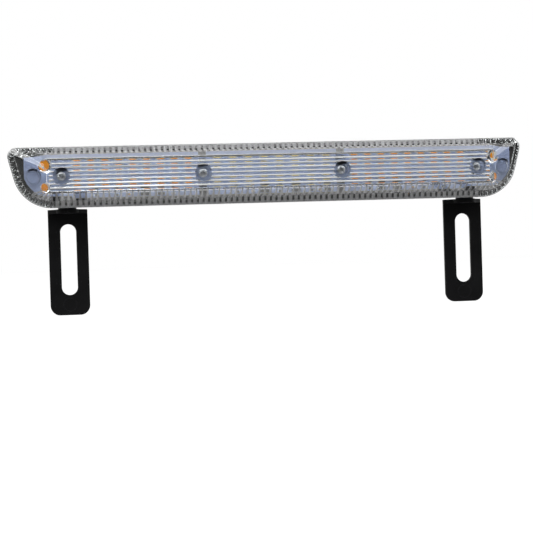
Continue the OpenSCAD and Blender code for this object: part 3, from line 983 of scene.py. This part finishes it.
def make_case_screws():
    """Pan-head screws with a cross recess and a cut thread, each turned in by a different angle."""
    shank_r = 1.25
    dome_height, head_height = 0.75, 1.6
    first_turn, turn_a_screw = 0.5, 1.1
    boxes = islands("case_screws")
    low, high = boxes[0]
    head_r = (high - low)[0] / 2
    top, end = low[1], high[1]
    seat = top + head_height
    angles = np.radians([8, 20, 35, 50, 65, 80])
    profile = [(head_r * math.sin(a), top + dome_height * (1 - math.cos(a))) for a in angles]
    profile += [(head_r, top + 0.85), (head_r, seat - 0.1), (head_r - 0.1, seat), (shank_r, seat)]
    profile += thread_profile(shank_r, seat + 0.5, end, pitch=0.9, depth=0.22)
    screw = turned("screw", profile)
    cut_cross(screw, r=1.25, depth=1.0, head_y=top)
    bm = bmesh.new()
    for k, (low, high) in enumerate(boxes):
        mid = (low + high) / 2
        part = screw.data.copy()
        turn = Matrix.Rotation(first_turn + turn_a_screw * k, 4, "Y")
        part.transform(Matrix.Translation((mid[0] * MM, 0, mid[2] * MM)) @ turn)
        bm.from_mesh(part)
        bpy.data.meshes.remove(part)
    bm.to_mesh(screw.data)
    bm.free()
    smooth_by_angle(screw)
    place(screw, "case_screws_finished", "case_screws")


def make_pivot_screw(side):
    """Countersunk screw driven up through the bracket's foot."""
    shank_r = 1.5
    node = side + "_pivot_screw"
    low, high = extent(node)
    mid = (low + high) / 2
    head_r = (high - low)[0] / 2
    length = (high - low)[2]
    profile = [(head_r * 0.2, 0.0), (head_r - 0.12, 0.0), (head_r, 0.1), (shank_r, head_r - 1.4)]
    profile += thread_profile(shank_r, head_r - 1.2, length, pitch=0.5, depth=0.14)
    screw = turned("screw", profile)
    cut_cross(screw, r=1.7, depth=1.2, head_y=0.0)
    foot = Vector((mid.x, mid.y, low.z)) * MM
    screw.data.transform(Matrix.Translation(foot) @ Matrix.Rotation(math.pi / 2, 4, "X"))
    smooth_by_angle(screw)
    place(screw, node + "_finished", node)


# ---- board ----

TRACK_HEIGHT = 0.05
TRACK_SUNK = 0.02
TRACK_EDGE = 0.03
# Each kind of track: half its width, and how far it stops from the middle of a lamp or well.
LAMP_TRACK = (0.35, 2.0)
MAIN_TRACK = (0.5, 4.6)
MAIN_TRACK_Z = 2.4
LAMP_GAP = 9.0


def add_track(bm, a, b, z, kind):
    """A track between two lamps or wells at these places along the bar."""
    half_width, short = kind
    low = np.array([a + short, BOARD_Y - TRACK_HEIGHT, z - half_width])
    high = np.array([b - short, BOARD_Y + TRACK_SUNK, z + half_width])
    add_soft_box(bm, low, high, TRACK_EDGE)


def make_tracks():
    """Copper tracks under the mask: from lamp to lamp in each row, and two between the screw wells."""
    bm = bmesh.new()
    lamps = [(low + high) / 2 for low, high in islands("amber_led_packages") + islands("white_led_packages")]
    for row in sorted({round(p[2], 2) for p in lamps}):
        xs = sorted(p[0] for p in lamps if round(p[2], 2) == row)
        for a, b in zip(xs, xs[1:]):
            if b - a < LAMP_GAP:
                add_track(bm, a, b, row, LAMP_TRACK)
    for z in (-MAIN_TRACK_Z, MAIN_TRACK_Z):
        for a, b in zip(SCREW_XS, SCREW_XS[1:]):
            add_track(bm, a, b, z, MAIN_TRACK)
    extra(bm, "board_tracks", "board_white_mask")


# ---- all the pieces ----

make_lens([MATERIALS["clear_polycarbonate"],
           # the ribbed and matt finishes are painted pale grey: a painted reflection of the white
           # surroundings on the ribs and the seat
           frosted_plastic_with_painted_reflection("ribbed_polycarbonate_painted_reflection", 0.45, (200, 198, 201), (216, 214, 217)),
           frosted_plastic_with_painted_reflection("matt_polycarbonate_painted_reflection", 0.1, (222, 221, 223), (236, 235, 236))])
for colour in ("amber", "white"):
    make_lamps(colour)
make_solder()
make_chips()
make_resistors()
make_capacitors()
make_diodes()
make_case_screws()
make_tracks()
rounded("circuit_board", 0.12, 1)
rounded("base_housing", 0.25)
rounded("lens_gasket", 0.15)
rounded("cable_grommet", 0.25)
for side in ("left", "right"):
    make_pivot_screw(side)
    rounded(side + "_bracket", 0.35, 3)
    rounded(side + "_friction_washer", 0.08)
    rounded(side + "_threaded_insert", 0.12)

# ---- floor, light and camera ----

# The studio's brightness as dull surfaces get it, mirrored from in front, and through the glass from in
# front and from the side; and the floor's, to the camera.
AMBIENT = 0.7
MIRRORED_FRONT = 0.12
THROUGH_FRONT = 0.9
THROUGH_SIDE = 0.03
FLOOR_WHITE = 0.82

# Where the front fades to the back and the middle to the side: directions, and metres on the floor.
FRONT_TO_BACK = (-0.25, 0.1)
MIDDLE_TO_SIDE = (0.35, 0.6)
FLOOR_FRONT_TO_BACK_M = (-0.1, 0.1)

FLOOR_SIZE = 6000
FLAG_WIDTH = 2600
FLAG_HEIGHT = 900
FLAG_TOP_Z = 20
FLAG_Y = -1000

# The camera's place, its turns in degrees, one after another, and its lens.
CAMERA_AT = (-94.1, -731.8, -40.7)
CAMERA_TURNS = ((-7.206, "Z"), (-0.555, "X"), (1.759, "Y"))
FOCAL_MM = 96.1

# Each lamp's name, place and size in metres, and power in watts.
STUDIO_LAMPS = [("key", (-0.5, -0.9, 0.9), (1.5, 0.8), 18), ("rim", (0.8, -0.3, 0.7), (0.4, 0.8), 4)]


def stage_card(name, width, depth, pose, shade):
    """A flat card of the studio, not part of the object."""
    bm = bmesh.new()
    bmesh.ops.create_grid(bm, x_segments=4, y_segments=4, size=0.5)
    bmesh.ops.transform(bm, matrix=pose @ Matrix.Diagonal((width, depth, 1, 1)), verts=bm.verts)
    card = object_from_bmesh(name, bm)
    card.data.materials.append(shade.material)
    return card


def mottled(name, darkest, palest, per_mm, rough):
    """A dull studio surface between two greys, given in 0 to 255."""
    s = Shade(name, Roughness=rough, Specular_IOR_Level=0.0)
    s.set("Base_Color", s.mix(s.span(s.noise(per_mm), 0.0, 1.0), srgb(*[darkest] * 3), srgb(*[palest] * 3)))
    return s


def make_floor():
    """White to the camera, dimmer in front where it is only reflected or refracted, and clear from below."""
    s = mottled("floor", 132, 138, 0.004, 0.9)
    s.set("Emission_Color", (1, 1, 1, 1))
    path = s.node("LightPath").outputs
    behind = s.span(s.part(s.coords, "Y"), MIRRORED_FRONT, 1.0, *FLOOR_FRONT_TO_BACK_M)
    in_glass = s.math("MAXIMUM", path["Is Glossy Ray"], path["Is Transmission Ray"])
    seen = s.math("MAXIMUM", path["Is Camera Ray"], s.math("MULTIPLY", in_glass, behind))
    s.set("Emission_Strength", s.math("MULTIPLY", seen, FLOOR_WHITE))
    s.set("Alpha", s.math("SUBTRACT", 1.0, s.node("NewGeometry").outputs["Backfacing"]))
    floor = stage_card("floor", FLOOR_SIZE, FLOOR_SIZE, Matrix.Translation((0, 0, FLOOR_Z)), s)
    if floor.data.polygons[0].normal.z < 0:  # an open sheet may come out face down
        floor.data.flip_normals()


def make_flag():
    """A dark studio card below the camera's view, which draws dark lines in the glass."""
    upright = Matrix.Rotation(math.pi / 2, 4, "X")
    pose = Matrix.Translation((0, FLAG_Y, FLAG_TOP_Z - FLAG_HEIGHT / 2)) @ upright
    flag = stage_card("flag", FLAG_WIDTH, FLAG_HEIGHT, pose, mottled("flag", 18, 26, 0.01, 1.0))
    flag.visible_camera = False


def make_world():
    """White studio; its front half and its sides are dimmer where they are only seen in the glass."""
    world = bpy.data.worlds.new("studio")
    bpy.context.scene.world = world
    world.use_nodes = True
    w = Nodes(world.node_tree)
    path = w.node("LightPath").outputs
    toward = w.node("TexCoord").outputs["Generated"]
    behind = w.span(w.part(toward, "Y"), 0.0, 1.0, *FRONT_TO_BACK)
    aside = w.span(w.math("ABSOLUTE", w.part(toward, "X")), THROUGH_FRONT, THROUGH_SIDE, *MIDDLE_TO_SIDE)
    mirrored = w.math("MULTIPLY", path["Is Glossy Ray"], w.math("MAXIMUM", behind, MIRRORED_FRONT))
    through = w.math("MULTIPLY", path["Is Transmission Ray"], w.math("MAXIMUM", behind, aside))
    lit = w.math("MULTIPLY", path["Is Diffuse Ray"], AMBIENT)
    seen = w.math("MAXIMUM", path["Is Camera Ray"], through)
    background = world.node_tree.nodes["Background"].inputs
    w.put((1, 1, 1, 1), background["Color"])
    w.put(w.math("MAXIMUM", lit, w.math("MAXIMUM", seen, mirrored)), background["Strength"])


def make_lamp(name, place_m, size_m, watts):
    """A rectangular lamp that points at the origin."""
    light = bpy.data.lights.new(name, "AREA")
    light.shape = "RECTANGLE"
    light.size, light.size_y = size_m
    light.energy = watts
    lamp = new_object(name, light)
    lamp.location = place_m
    lamp.rotation_euler = (-Vector(place_m)).to_track_quat("-Z", "Y").to_euler()


def make_camera():
    """The photograph's view of the bar."""
    data = bpy.data.cameras.new("camera")
    data.sensor_width = 36
    data.lens = FOCAL_MM
    data.clip_start = 0.01
    camera = new_object("camera", data)
    turn = Matrix.Identity(3)
    for degrees, axis in CAMERA_TURNS:
        turn = turn @ Matrix.Rotation(math.radians(degrees), 3, axis)
    right, forward, up = (turn.col[i] for i in range(3))
    pose = Matrix((right, up, -forward)).transposed().to_4x4()
    pose.translation = Vector(CAMERA_AT) * MM
    camera.matrix_world = pose
    bpy.context.scene.camera = camera


make_floor()
make_flag()
make_world()
for lamp in STUDIO_LAMPS:
    make_lamp(*lamp)
make_camera()
bpy.context.scene.view_settings.view_transform = "Standard"
